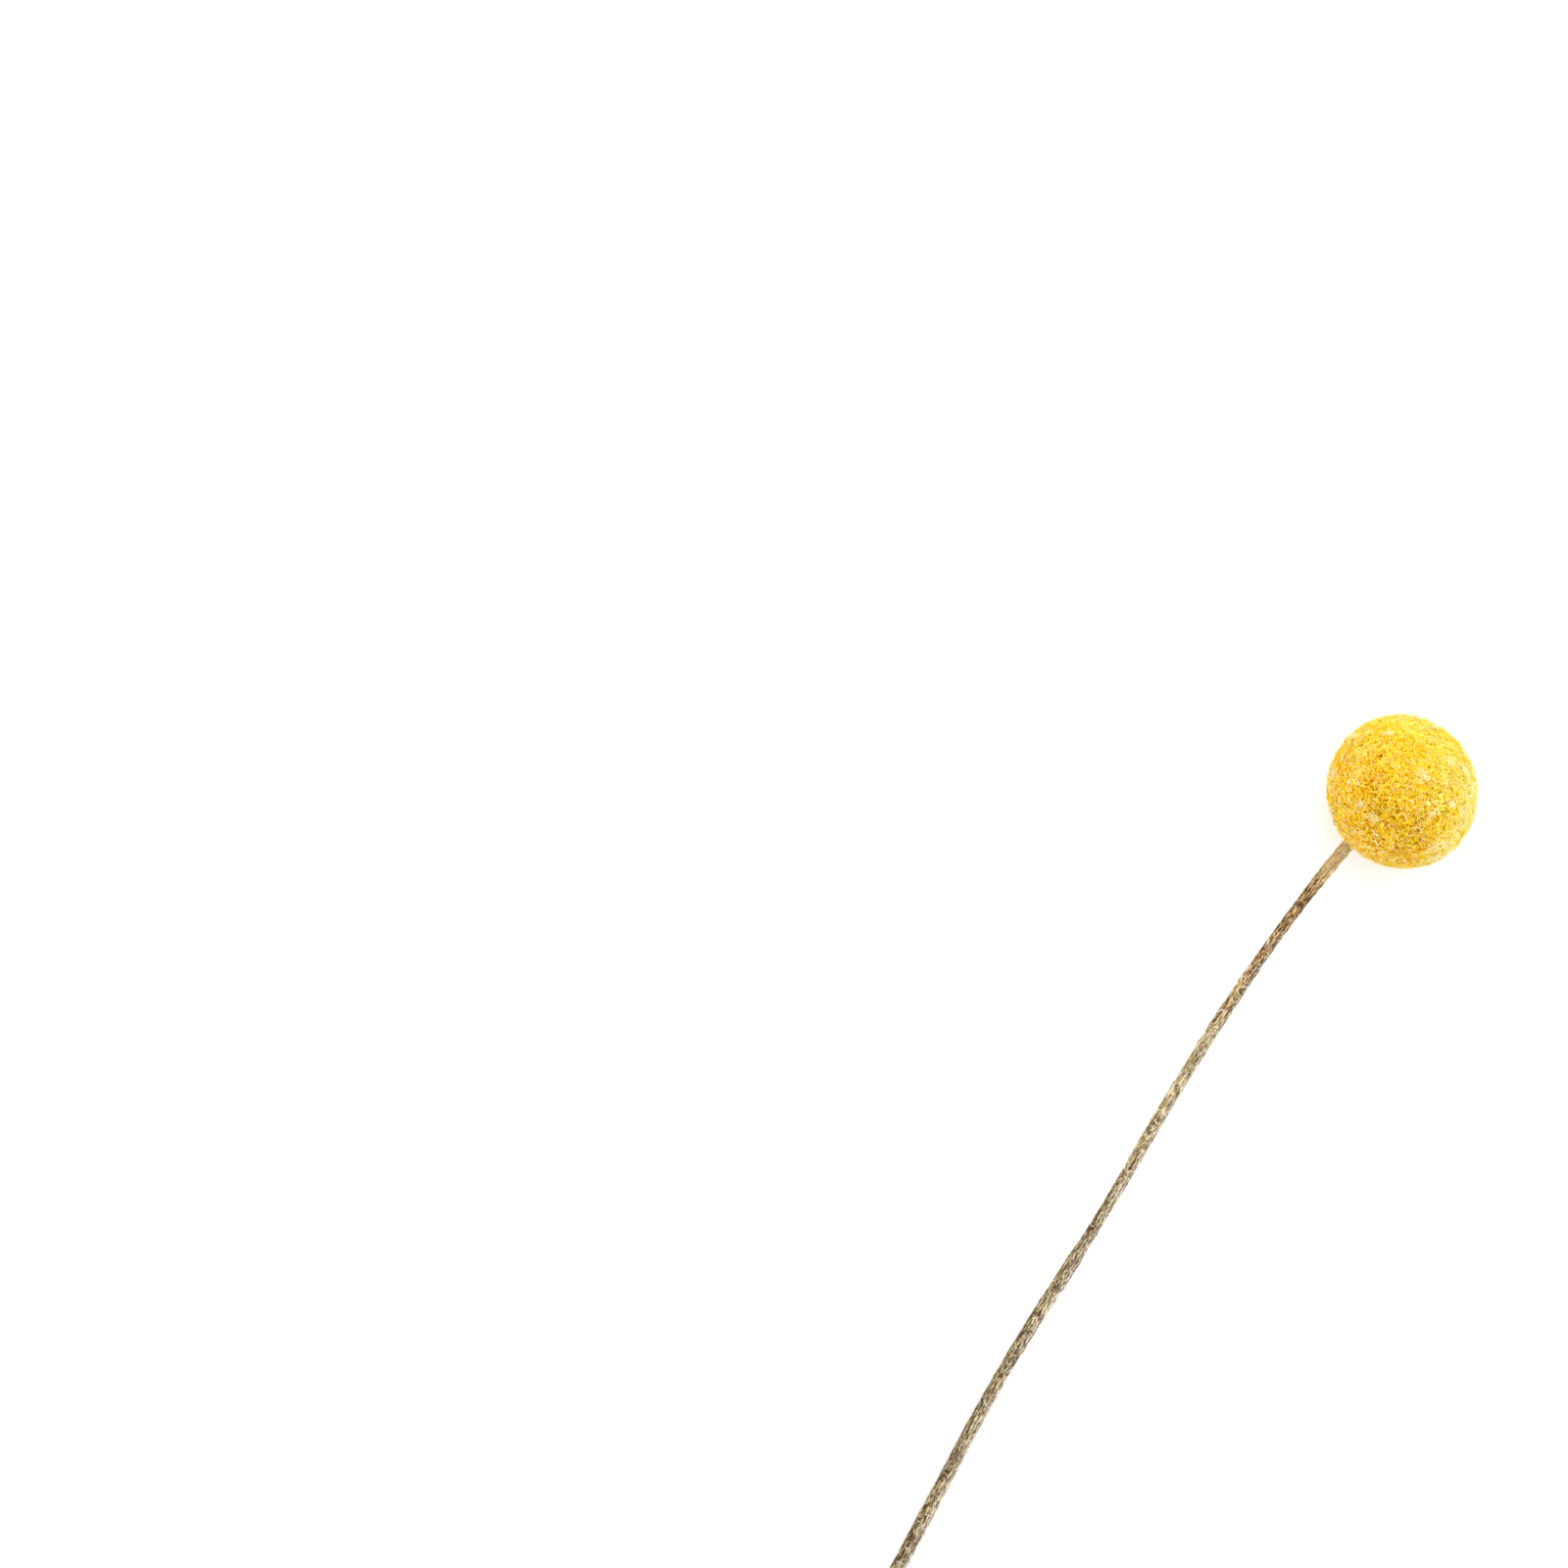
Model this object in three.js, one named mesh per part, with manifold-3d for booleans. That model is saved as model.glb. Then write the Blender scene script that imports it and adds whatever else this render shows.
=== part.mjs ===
// A dried billy buttons stem, lying on a flat surface: a thin ribbed stem and the round flower head on it.
// Millimetres, +Z up. The cut foot is at -X and the flower head at +X, and the stem bows towards +Y.
// The origin is on the surface, under the middle of the whole stem.
import * as THREE from "three";
import { ConvexHull } from "three/addons/math/ConvexHull.js";
import { mergeVertices } from "three/addons/utils/BufferGeometryUtils.js";
import Module from "manifold-3d";

// The flower head: a ball of florets, pressed a little flat where it lies.
const HEAD_RADIUS = 14;
const HEAD_CENTRE = new THREE.Vector3(176, 0, 13.4);
const LUMPINESS = 0.006; // share of the radius that each of three slow waves adds
const REST_SPOT_RADIUS = 3.2;
const FLORETS = 540;
const FLORET_HEIGHT = 0.95; // from the gap between florets up to a floret's rim
const FLORET_UNEVENNESS = 0.22;
const CUP_DEPTH = 0.55;
const RIM_SHARE = 0.6; // of the way from a floret's middle to the gap
const SITE_JITTER = 0.16; // of the spacing between florets
const SEED = 41;

// The stem's middle line from the cut foot to the tip inside the head. It lies on the surface at its foot and
// half way along, and rises from there to the head.
const STEM_LINE = [
  [-190, 0, 1.5],
  [-140, 1.6, 1.72],
  [-90, 3.1, 1.7],
  [-40, 4.6, 1.42],
  [5, 6.0, 1.3],
  [46, 7.95, 1.9],
  [80, 7.25, 3.4],
  [110, 7.4, 5.5],
  [135, 6.6, 7.85],
  [152, 5.05, 9.6],
  [166.5, 2.9, 11.2],
];
// The stem's radius at distances from its foot: it thins towards the head, and is woolly and thicker just below it.
const STEM_RADII = [
  [0, 1.5],
  [120, 1.42],
  [205, 1.28],
  [241, 1.2],
  [254, 1.27],
  [276, 1.07],
  [292, 1.22],
  [301, 1.12],
  [318, 1.03],
  [336, 1.04],
  [348, 1.25],
  [357, 1.25],
];
const RIBS = 10;
const RIB_SHARE = 0.07; // of the radius, up and down
const RIB_TWIST = 0.9; // radians from foot to tip
const SECTION_SIDES = 2 * RIBS;
const RING_SPACING = 4.6;
const CUT_SLANT = 0.35; // how far the cut foot leans, as a slope

// Old leaf scars: small ledges at distances from the foot, turned round the stem by a fixed angle each time.
const SCAR_FIRST = 46;
const SCAR_SPACING = 54;
const SCAR_COUNT = 6;
const SCAR_TURN = 2.4;
const SCAR_HEIGHT = 0.38;
const SCAR_HALF_ANGLE = 0.75;
const SCAR_RINGS = [-5, -1.2, 0, 0.5, 2]; // rings round a scar, in mm along the stem
const SCAR_TAIL = 3.2; // length over which a ledge fades towards the foot

// The socket that the stem's tip sits in.
const SOCKET_GAP = 0.3;
const SOCKET_SIDES = 20;

const GOLDEN_ANGLE = Math.PI * (3 - Math.sqrt(5));
const UP = new THREE.Vector3(0, 0, 1);

const manifold = await Module();
manifold.setup();

// Repeatable random numbers from 0 to 1 (the mulberry32 rule).
function randomFrom(seed) {
  let state = seed;
  return () => {
    state = (state + 0x6d2b79f5) | 0;
    let mixed = Math.imul(state ^ (state >>> 15), 1 | state);
    mixed = (mixed + Math.imul(mixed ^ (mixed >>> 7), 61 | mixed)) ^ mixed;
    return ((mixed ^ (mixed >>> 14)) >>> 0) / 4294967296;
  };
}

function geometryOf(points, triangles) {
  const geometry = new THREE.BufferGeometry().setFromPoints(points);
  geometry.setIndex(triangles);
  return geometry;
}

// ---- The stem ----

const stemLine = new THREE.CatmullRomCurve3(
  STEM_LINE.map((point) => new THREE.Vector3(...point)),
  false,
  "catmullrom",
  0.5,
);
stemLine.arcLengthDivisions = 1200;
const STEM_LENGTH = stemLine.getLength();

function stemRadius(distance) {
  const next = STEM_RADII.findIndex(([place]) => place >= distance);
  if (next < 0) return STEM_RADII.at(-1)[1];
  if (next === 0) return STEM_RADII[0][1];
  const [startPlace, startRadius] = STEM_RADII[next - 1];
  const [endPlace, endRadius] = STEM_RADII[next];
  const share = (distance - startPlace) / (endPlace - startPlace);
  return THREE.MathUtils.lerp(startRadius, endRadius, THREE.MathUtils.smoothstep(share, 0, 1));
}

// A ledge rises slowly from the foot side, and drops back sharply on the head side.
function scarHeight(distance, angle) {
  let height = 0;
  for (let scar = 0; scar < SCAR_COUNT; scar++) {
    const past = distance - (SCAR_FIRST + scar * SCAR_SPACING);
    const along = past > 0 ? Math.max(0, 1 - past / SCAR_RINGS.at(-1)) : Math.exp(past / SCAR_TAIL);
    const turn = angle - scar * SCAR_TURN;
    const around = Math.exp((Math.cos(turn) - 1) / SCAR_HALF_ANGLE ** 2);
    height += SCAR_HEIGHT * along * around;
  }
  return height;
}

// Distances of the rings along the stem: even steps, with more rings round each scar.
function ringPlaces() {
  const places = [];
  const steps = Math.round(STEM_LENGTH / RING_SPACING);
  for (let step = 0; step <= steps; step++) places.push((step / steps) * STEM_LENGTH);
  for (let scar = 0; scar < SCAR_COUNT; scar++) {
    const middle = SCAR_FIRST + scar * SCAR_SPACING;
    const rings = SCAR_RINGS.map((offset) => middle + offset);
    const clear = RING_SPACING / 3;
    const kept = places.filter((place) => place < rings[0] - clear || place > rings.at(-1) + clear);
    places.splice(0, places.length, ...kept, ...rings);
  }
  return places.sort((a, b) => a - b);
}

// The point on the stem's surface at a distance from the foot and an angle round it, never below the surface.
function stemPoint(distance, angle) {
  const share = distance / STEM_LENGTH;
  const centre = stemLine.getPointAt(share);
  const along = stemLine.getTangentAt(share);
  const side = new THREE.Vector3().crossVectors(UP, along).normalize();
  const above = new THREE.Vector3().crossVectors(along, side);
  const rib = Math.cos(RIBS * (angle + RIB_TWIST * share));
  const radius = stemRadius(distance) * (1 + RIB_SHARE * rib) + scarHeight(distance, angle);
  const point = centre.clone();
  point.addScaledVector(side, radius * Math.cos(angle));
  point.addScaledVector(above, radius * Math.sin(angle));
  const nearFoot = Math.max(0, 1 - distance / RING_SPACING);
  point.addScaledVector(along, nearFoot * CUT_SLANT * radius * Math.cos(angle));
  point.z = Math.max(point.z, 0);
  return point;
}

function stemGeometry() {
  const points = [];
  const triangles = [];
  const places = ringPlaces();
  for (const place of places) {
    for (let side = 0; side < SECTION_SIDES; side++) {
      const twist = (RIB_TWIST * place) / STEM_LENGTH;
      points.push(stemPoint(place, (side / SECTION_SIDES) * 2 * Math.PI - twist));
    }
  }
  for (let ring = 0; ring < places.length - 1; ring++) {
    for (let side = 0; side < SECTION_SIDES; side++) {
      const a = ring * SECTION_SIDES + side;
      const b = ring * SECTION_SIDES + ((side + 1) % SECTION_SIDES);
      const c = a + SECTION_SIDES;
      const d = b + SECTION_SIDES;
      triangles.push(a, b, d, a, d, c);
    }
  }
  const foot = points.push(stemLine.getPointAt(0)) - 1;
  const tip = points.push(stemLine.getPointAt(1)) - 1;
  const lastRing = (places.length - 1) * SECTION_SIDES;
  for (let side = 0; side < SECTION_SIDES; side++) {
    const next = (side + 1) % SECTION_SIDES;
    triangles.push(foot, next, side);
    triangles.push(tip, lastRing + side, lastRing + next);
  }
  return geometryOf(points, triangles);
}

// ---- The flower head ----

const stemTip = stemLine.getPointAt(1);
const headAxis = stemLine.getTangentAt(1).normalize();

// A ball that isn't quite round: three slow waves are added to its radius.
function headRadius(direction) {
  const waves =
    Math.sin(2.3 * direction.x + 0.7) + Math.sin(3.1 * direction.y - 1.2) + Math.sin(2.7 * direction.z + 2.1);
  return HEAD_RADIUS * (1 + LUMPINESS * waves);
}

// Florets sit on the spiral of the golden angle round the head's axis, each moved a little at random.
function floretSites(random) {
  const sites = [];
  const turn = new THREE.Quaternion().setFromUnitVectors(UP, headAxis);
  const spacing = Math.sqrt((4 * Math.PI) / FLORETS);
  for (let floret = 0; floret < FLORETS; floret++) {
    const height = 1 - (2 * (floret + 0.5)) / FLORETS;
    const width = Math.sqrt(1 - height * height);
    const angle = floret * GOLDEN_ANGLE;
    const site = new THREE.Vector3(width * Math.cos(angle), width * Math.sin(angle), height);
    const shift = new THREE.Vector3(random() - 0.5, random() - 0.5, random() - 0.5);
    sites.push(site.addScaledVector(shift, 2 * SITE_JITTER * spacing).normalize().applyQuaternion(turn));
  }
  return sites;
}

// The gaps between florets run where three florets are equally far: the outward normals of the hull's triangles.
function floretCells(sites) {
  const order = new Map(sites.map((site, index) => [site, index]));
  const corners = [];
  const cells = sites.map(() => []);
  for (const face of new ConvexHull().setFromPoints(sites).faces) {
    const corner = corners.push(face.normal.clone().normalize()) - 1;
    let edge = face.edge;
    do {
      cells[order.get(edge.head().point)].push(corner);
      edge = edge.next;
    } while (edge !== face.edge);
  }
  sites.forEach((site, index) => {
    const across = new THREE.Vector3().crossVectors(UP, site).normalize();
    const upward = new THREE.Vector3().crossVectors(site, across);
    const bearing = (corner) => Math.atan2(corners[corner].dot(upward), corners[corner].dot(across));
    cells[index].sort((a, b) => bearing(a) - bearing(b));
  });
  return { corners, cells };
}

// A point of the head at a direction and a height from the mean surface. The florets at the bottom are pressed flat.
function headPoint(direction, height) {
  const point = HEAD_CENTRE.clone().addScaledVector(direction, headRadius(direction) + height);
  const fromMiddle = Math.hypot(point.x - HEAD_CENTRE.x, point.y - HEAD_CENTRE.y);
  const pressed = fromMiddle < REST_SPOT_RADIUS && point.z < HEAD_CENTRE.z;
  point.z = pressed ? 0 : Math.max(point.z, 0);
  return point;
}

// Each floret is a small cup: a ring in the gap round it, a raised rim, and a sunk middle.
function headGeometry() {
  const random = randomFrom(SEED);
  const sites = floretSites(random);
  const { corners, cells } = floretCells(sites);
  const points = corners.map((corner) => headPoint(corner, -FLORET_HEIGHT));
  const triangles = [];
  sites.forEach((site, index) => {
    const cell = cells[index];
    const rimHeight = FLORET_UNEVENNESS * (random() - 0.5);
    const middle = points.push(headPoint(site, rimHeight - CUP_DEPTH)) - 1;
    const firstRim = points.length;
    for (const corner of cell) {
      const direction = site.clone().lerp(corners[corner], RIM_SHARE).normalize();
      points.push(headPoint(direction, rimHeight));
    }
    cell.forEach((corner, place) => {
      const next = (place + 1) % cell.length;
      const rim = firstRim + place;
      const nextRim = firstRim + next;
      triangles.push(corner, cell[next], nextRim);
      triangles.push(corner, nextRim, rim);
      triangles.push(rim, nextRim, middle);
    });
  });
  return geometryOf(points, triangles);
}

// A plug a little larger than the stem's tip, from just past it out through the head's side.
function socketGeometry() {
  const radius = stemRadius(STEM_LENGTH) * (1 + RIB_SHARE) + SOCKET_GAP;
  const profile = [
    [0, -HEAD_RADIUS],
    [radius, -HEAD_RADIUS],
    [radius, SOCKET_GAP],
    [0, SOCKET_GAP],
  ].map(([across, along]) => new THREE.Vector2(across, along));
  const plug = new THREE.LatheGeometry(profile, SOCKET_SIDES);
  const turn = new THREE.Quaternion().setFromUnitVectors(new THREE.Vector3(0, 1, 0), headAxis);
  return plug.applyQuaternion(turn).translate(stemTip.x, stemTip.y, stemTip.z);
}

// ---- Joining and cutting ----

function solidOf(geometry) {
  const bare = geometry.clone();
  bare.deleteAttribute("normal");
  bare.deleteAttribute("uv");
  const merged = mergeVertices(bare, 1e-4);
  const mesh = new manifold.Mesh({
    numProp: 3,
    vertProperties: new Float32Array(merged.attributes.position.array),
    triVerts: new Uint32Array(merged.index.array),
  });
  return new manifold.Manifold(mesh);
}

function geometryFrom(solid) {
  const mesh = solid.getMesh();
  const geometry = new THREE.BufferGeometry();
  geometry.setAttribute("position", new THREE.BufferAttribute(mesh.vertProperties, mesh.numProp));
  geometry.setIndex(new THREE.BufferAttribute(mesh.triVerts, 1));
  return geometry;
}

function namedMesh(name, geometry, material) {
  geometry.computeVertexNormals();
  const mesh = new THREE.Mesh(geometry, material);
  mesh.name = name;
  return mesh;
}

const driedStem = new THREE.MeshStandardMaterial({ color: 0xb7a47a, roughness: 0.9, flatShading: true });
const yellowFlorets = new THREE.MeshStandardMaterial({ color: 0xe6b422, roughness: 0.95, flatShading: true });

const flowerHead = geometryFrom(solidOf(headGeometry()).subtract(solidOf(socketGeometry())));

const billyButtonsStem = new THREE.Group();
billyButtonsStem.add(namedMesh("stem", stemGeometry(), driedStem));
billyButtonsStem.add(namedMesh("flower_head", flowerHead, yellowFlorets));

export default billyButtonsStem;
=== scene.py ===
# %% [markdown]
# # A dried billy buttons stem
# Billy buttons are flowers that keep their shape when they dry: a ball packed with tiny yellow florets on
# one bare, woolly stalk. This lesson dresses a plain solid model of one stem, which lies on a table, with
# the florets, hairs and fibres that make it look grown.
# The solid model is loaded first and is never changed. Every new piece goes where the solids are.

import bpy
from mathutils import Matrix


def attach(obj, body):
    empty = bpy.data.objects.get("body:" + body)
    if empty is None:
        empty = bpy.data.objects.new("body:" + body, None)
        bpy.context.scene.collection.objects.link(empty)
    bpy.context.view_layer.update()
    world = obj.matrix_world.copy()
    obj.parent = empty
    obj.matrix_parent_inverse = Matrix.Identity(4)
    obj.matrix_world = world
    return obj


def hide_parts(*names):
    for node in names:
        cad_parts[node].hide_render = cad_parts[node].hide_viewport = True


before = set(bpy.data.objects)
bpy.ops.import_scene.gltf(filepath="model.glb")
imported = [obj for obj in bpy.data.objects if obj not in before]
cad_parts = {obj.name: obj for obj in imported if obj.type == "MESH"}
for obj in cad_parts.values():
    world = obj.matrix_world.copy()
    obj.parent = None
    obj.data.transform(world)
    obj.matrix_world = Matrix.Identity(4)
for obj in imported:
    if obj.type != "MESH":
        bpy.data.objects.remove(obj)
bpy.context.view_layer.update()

# %% The tools
import math

import bpy
import numpy as np

MM = 0.001  # all lengths below are in millimetres, and Blender's are in metres
UP = np.array([0.0, 0.0, 1.0])


def add_object(name, data):
    """A new object that shows this camera, lamp or mesh in the scene."""
    made = bpy.data.objects.new(name, data)
    bpy.context.scene.collection.objects.link(made)
    return made


# %% [markdown]
# ## Camera
# The stem stood upright in a fan of others. Here it lies on the table, so the camera looks straight down on
# it, and is turned until the stem leans to the lower left. A long lens from far away keeps the round head
# round, and keeps the parts that lie higher from looking larger. The frame's width is set at the height of
# the head's middle.

# %% Camera
VIEW_CENTRE = (119.44, 97.45)
VIEW_TURN = math.radians(-59.13)
VIEW_WIDTH = 285.7
VIEW_HEIGHT = 13.4
LENS = 600.0
SENSOR = 36.0
VIEW_RIGHT = np.array([math.cos(VIEW_TURN), math.sin(VIEW_TURN), 0])
VIEW_UPWARD = np.array([-math.sin(VIEW_TURN), math.cos(VIEW_TURN), 0])

camera = add_object("camera", bpy.data.cameras.new("camera"))
camera.data.lens = LENS
camera.data.sensor_width = SENSOR
camera.data.clip_start = 0.05
camera.data.clip_end = 20
camera_distance = VIEW_WIDTH * LENS / SENSOR
camera.location = np.array([*VIEW_CENTRE, VIEW_HEIGHT + camera_distance]) * MM
camera.rotation_euler = (0, 0, VIEW_TURN)
bpy.context.scene.camera = camera
print("camera", round(camera_distance), "mm above the head's middle")

# %% [markdown]
# ## Small helpers
# A shape here is worked out as one whole array of points, and its faces as whole arrays of corner numbers.
# These helpers do what every piece needs: unit directions, smooth steps between given levels, natural
# unevenness, a soft stop at the table, and putting the arrays into a mesh.

# %% Directions, steps and unevenness
def unit(vectors):
    """Each vector divided by its own length."""
    return vectors / np.linalg.norm(vectors, axis=-1, keepdims=True)


def eased(value, places, levels):
    """The level at a value: a share t of the way from one place to the next, it has moved by 3t² - 2t³."""
    places = np.asarray(places, float)
    levels = np.asarray(levels, float)
    after = np.clip(np.searchsorted(places, value), 1, len(places) - 1)
    start, end = places[after - 1], places[after]
    t = np.clip((value - start) / (end - start), 0, 1)
    return levels[after - 1] + (levels[after] - levels[after - 1]) * t * t * (3 - 2 * t)


def waves(points, length, seed, count=14):
    """Natural unevenness, mostly between -2 and 2: many sine waves in random directions, added up. Each
    wave's length is drawn between 0.6 and 1.8 times the given one."""
    draw = np.random.default_rng(seed)
    heading = unit(draw.normal(size=(3, count)).T).T
    heading = heading * math.tau / (length * draw.uniform(0.6, 1.8, count))
    return np.sin(points @ heading + draw.uniform(0, math.tau, count)).sum(-1) * math.sqrt(2 / count)


def above_table(points, softness=0.1):
    """Heights under the table come up to it: the new height is half of z + √(z² + softness²)."""
    height = points[..., 2]
    lifted = (height + np.sqrt(height**2 + softness**2)) / 2
    return np.concatenate([points[..., :2], lifted[..., None]], axis=-1)


# %% From arrays to a piece
STALK_PART = ("stem", "dried_stem")  # the solid's node and its material slot
HEAD_PART = ("flower_head", "florets")


def triangles_and_volume(points, faces):
    """Faces are split into triangles a, b, c, and the volume is the sum of a · (b × c) / 6. It is above zero
    where the faces of a closed mesh point outwards."""
    fans = [group[:, [0, k, k + 1]] for group in faces for k in range(1, group.shape[1] - 1)]
    a, b, c = np.moveaxis(points[np.concatenate(fans)], 1, 0)
    return len(a), np.einsum("ij,ij->i", a, np.cross(b, c)).sum() / 6


def make_piece(name, points, faces, finish, part, flat_map, **marks):
    """A smooth mesh from points in millimetres and a list of arrays of faces. It stands for a part of the
    solid model. The flat map is a place on a square for each point, or for each corner of each face. Marks
    are values kept at the points, which the finish reads."""
    node, slot = part
    mesh = bpy.data.meshes.new(name)
    mesh.from_pydata((points * MM).tolist(), [], [face for group in faces for face in group.tolist()])
    for mark, values in marks.items():
        kind, field = ("FLOAT_VECTOR", "vector") if values.ndim == 2 else ("FLOAT", "value")
        kept = mesh.attributes.new(mark, kind, "POINT")
        kept.data.foreach_set(field, values.ravel().astype(np.float32))
    corners = np.concatenate([group.ravel() for group in faces])
    flat = flat_map[corners] if len(flat_map) == len(points) else flat_map
    mesh.uv_layers.new(name="OFBake").data.foreach_set("uv", flat.ravel().astype(np.float32))
    mesh.shade_smooth()
    mesh.materials.append(finish)
    piece = add_object(name, mesh)
    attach(piece, "root")
    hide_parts(node)
    triangles, volume = triangles_and_volume(points, faces)
    low, high = points.min(axis=0).round(1), points.max(axis=0).round(1)
    print(f"{name}: {triangles} triangles, {volume:.1f} cubic mm, from {low} to {high}")


# %% [markdown]
# ## Finishes
# A finish is a small net of shader nodes. Written out node by node it's long and hard to read, so two
# helpers keep it short. `Socket` wraps a node's output, so that sums on values read as ordinary sums and add
# their own Math nodes. `Finish` adds any other node from its type, its settings and its inputs. Colours
# never go through Math nodes, which would turn them grey.

# %% Sums on sockets
class Socket:
    """A node's output. +, - and * with a number or another socket add a Math node."""

    def __init__(self, finish, output):
        self.finish = finish
        self.output = output

    def sum(self, operation, first, second):
        return self.finish.node("Math", {"operation": operation}, {0: first, 1: second})

    def __add__(self, other):
        return self.sum("ADD", self, other)

    __radd__ = __add__

    def __sub__(self, other):
        return self.sum("SUBTRACT", self, other)

    def __rsub__(self, other):
        return self.sum("SUBTRACT", other, self)

    def __mul__(self, other):
        return self.sum("MULTIPLY", self, other)

    __rmul__ = __mul__


# %% Nodes in one call
def paint(red, green, blue):
    """A colour from the display numbers 0 to 255, as the light values that shaders use."""
    shares = [part / 255 for part in (red, green, blue)]
    return tuple(s / 12.92 if s <= 0.04045 else ((s + 0.055) / 1.055) ** 2.4 for s in shares) + (1.0,)


class Finish:
    """A material and its nodes."""

    def __init__(self, name, roughness, **constants):
        self.material = bpy.data.materials.new(name)
        self.material.use_nodes = True
        self.tree = self.material.node_tree
        self.shader = self.tree.nodes["Principled BSDF"]
        self.shader.inputs["Roughness"].default_value = roughness
        for socket, value in constants.items():
            self.shader.inputs[socket.replace("_", " ")].default_value = value

    def give(self, socket, value):
        """Links a wrapped output to an input, or sets a plain value on it."""
        if isinstance(value, Socket):
            self.tree.links.new(value.output, socket)
        else:
            socket.default_value = value

    def node(self, kind, settings=None, inputs=None, output=0):
        """A node of a type, with its settings made first and then its inputs. Stops are a ramp's places, each
        with its colour in display numbers."""
        made = self.tree.nodes.new("ShaderNode" + kind)
        for name, value in (settings or {}).items():
            if name == "stops":
                while len(made.color_ramp.elements) < len(value):
                    made.color_ramp.elements.new(1.0)
                for element, (place, *colour) in zip(made.color_ramp.elements, value):
                    element.position = place
                    element.color = paint(*colour)
            else:
                setattr(made, name, value)
        for socket, value in (inputs or {}).items():
            self.give(made.inputs[socket], value)
        return Socket(self, made.outputs[output])

    def mark(self, name, output="Fac"):
        """The values that a piece keeps at its points under this name."""
        return self.node("Attribute", {"attribute_name": name}, output=output)

    def ramp(self, value, stops):
        """A colour for each value, blended between the stops."""
        return self.node("ValToRGB", {"stops": stops}, {0: value})

    def blend(self, share, first, second):
        """The first colour where the share is 0, the second where it is 1."""
        return self.node("Mix", {"data_type": "RGBA"}, {0: share, 6: first, 7: second}, output=2)

    def level(self, value, low, high):
        """An even change from 0 at low to 1 at high, and no further past them."""
        return self.node("MapRange", {}, {0: value, 1: low, 2: high})

    def noise(self, place, size, detail=2.0, roughness=0.5):
        """Cloudy noise with blobs of about 1 / size of the place's own unit."""
        inputs = {"Vector": place, "Scale": size, "Detail": detail, "Roughness": roughness}
        return self.node("TexNoise", {}, inputs)

    def stretched(self, place, *factors):
        """The place with each of its three parts multiplied by a factor."""
        return self.node("VectorMath", {"operation": "MULTIPLY"}, {0: place, 1: factors})

    def colour(self, value):
        self.give(self.shader.inputs["Base Color"], value)

    def relief(self, height, depth):
        """A bump of this depth in millimetres."""
        bump = self.node("Bump", {}, {"Distance": depth * MM, "Height": height})
        self.give(self.shader.inputs["Normal"], bump)


# %% [markdown]
# ## The stalk's line
# A real stalk isn't straight: it bows a little, and rises at the end because the head is thicker than the
# stalk. A few points set its line, and a smooth curve runs through them. Distances are measured along it
# from the cut foot, so that everything on the stalk can be placed by a distance along it and an angle round
# it. Angle 0 is its left side as one looks towards the head, and a quarter turn is its top.

# %% The stalk's line
STALK_LINE = np.array([
    [-190, 0, 1.5],
    [-140, 1.6, 1.72],
    [-90, 3.1, 1.7],
    [-40, 4.6, 1.42],
    [5, 6.0, 1.3],
    [46, 7.95, 1.9],
    [80, 7.25, 3.4],
    [110, 7.4, 5.5],
    [135, 6.6, 7.85],
    [152, 5.05, 9.6],
    [166.5, 2.9, 11.2],
])
LINE_STEPS = 400


def curve_through(controls, steps):
    """Points on a smooth curve through the controls. Between b and c, after a and before d, a share t of the
    way: half of 2b + (c - a)t + (2a - 5b + 4c - d)t² + (3b - 3c + d - a)t³."""
    ends = 2 * controls[[0, -1]] - controls[[1, -2]]
    chain = np.vstack([ends[:1], controls, ends[1:]])
    a, b, c, d = (chain[k : k + len(controls) - 1, None] for k in range(4))
    t = np.linspace(0, 1, steps, endpoint=False)[:, None]
    spans = 2 * b + (c - a) * t + (2 * a - 5 * b + 4 * c - d) * t**2 + (3 * b - 3 * c + d - a) * t**3
    return np.vstack([spans.reshape(-1, 3) / 2, controls[-1:]])


line_points = curve_through(STALK_LINE, LINE_STEPS)
line_distance = np.append(0, np.cumsum(np.linalg.norm(np.diff(line_points, axis=0), axis=1)))
line_along = unit(np.gradient(line_points, line_distance, axis=0))
STALK_LENGTH = line_distance[-1]
print("stalk length", round(STALK_LENGTH, 1), "mm")

# %% [markdown]
# ## The stalk's surface
# Round the line goes a section that is nearly a circle. It has ten low ribs that turn slowly along the
# stalk, and at each old leaf scar a small ledge on one side. The felt of the stalk makes it uneven by a few
# hundredths of a millimetre. All of this is one formula of distance and angle, so that the stalk itself and
# the hairs that lie on it agree.

# %% The stalk's surface
STALK_RADII = (
    [0, 120, 205, 241, 254, 276, 292, 301, 318, 336, 348, 357],
    [1.5, 1.42, 1.28, 1.2, 1.27, 1.07, 1.22, 1.12, 1.03, 1.04, 1.25, 1.25],
)
# The radii of the solid take in the felt. Here the felt lies on top, so it is taken off again.
FELT_ROOM = ([0, 290, 318, 334, 345, 357], [0.1, 0.1, 0.0, 0.02, 0.17, 0.26])
STALK_UNEVENNESS = [  # share of the radius, how much longer than wide, length of the waves, seed
    (0.022, 16.0, 0.5, 3),
    (0.016, 1.6, 0.9, 4),
    (0.02, 6.0, 2.5, 5),
]
RIBS = 10
RIB_SHARE = 0.07
RIB_TWIST = 0.9
CUT_SLANT = 0.35
CUT_REACH = 4.6
SCAR_PLACES = 46 + 54 * np.arange(6)
SCAR_TURN = 2.4
SCAR_HEIGHT = np.array([0.38, 0.38, 0.36, 0.22, 0.18, 0.14])
SCAR_HALF_ANGLE = 0.75
SCAR_TAIL = 3.2
SCAR_DROP = 2.0


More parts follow.
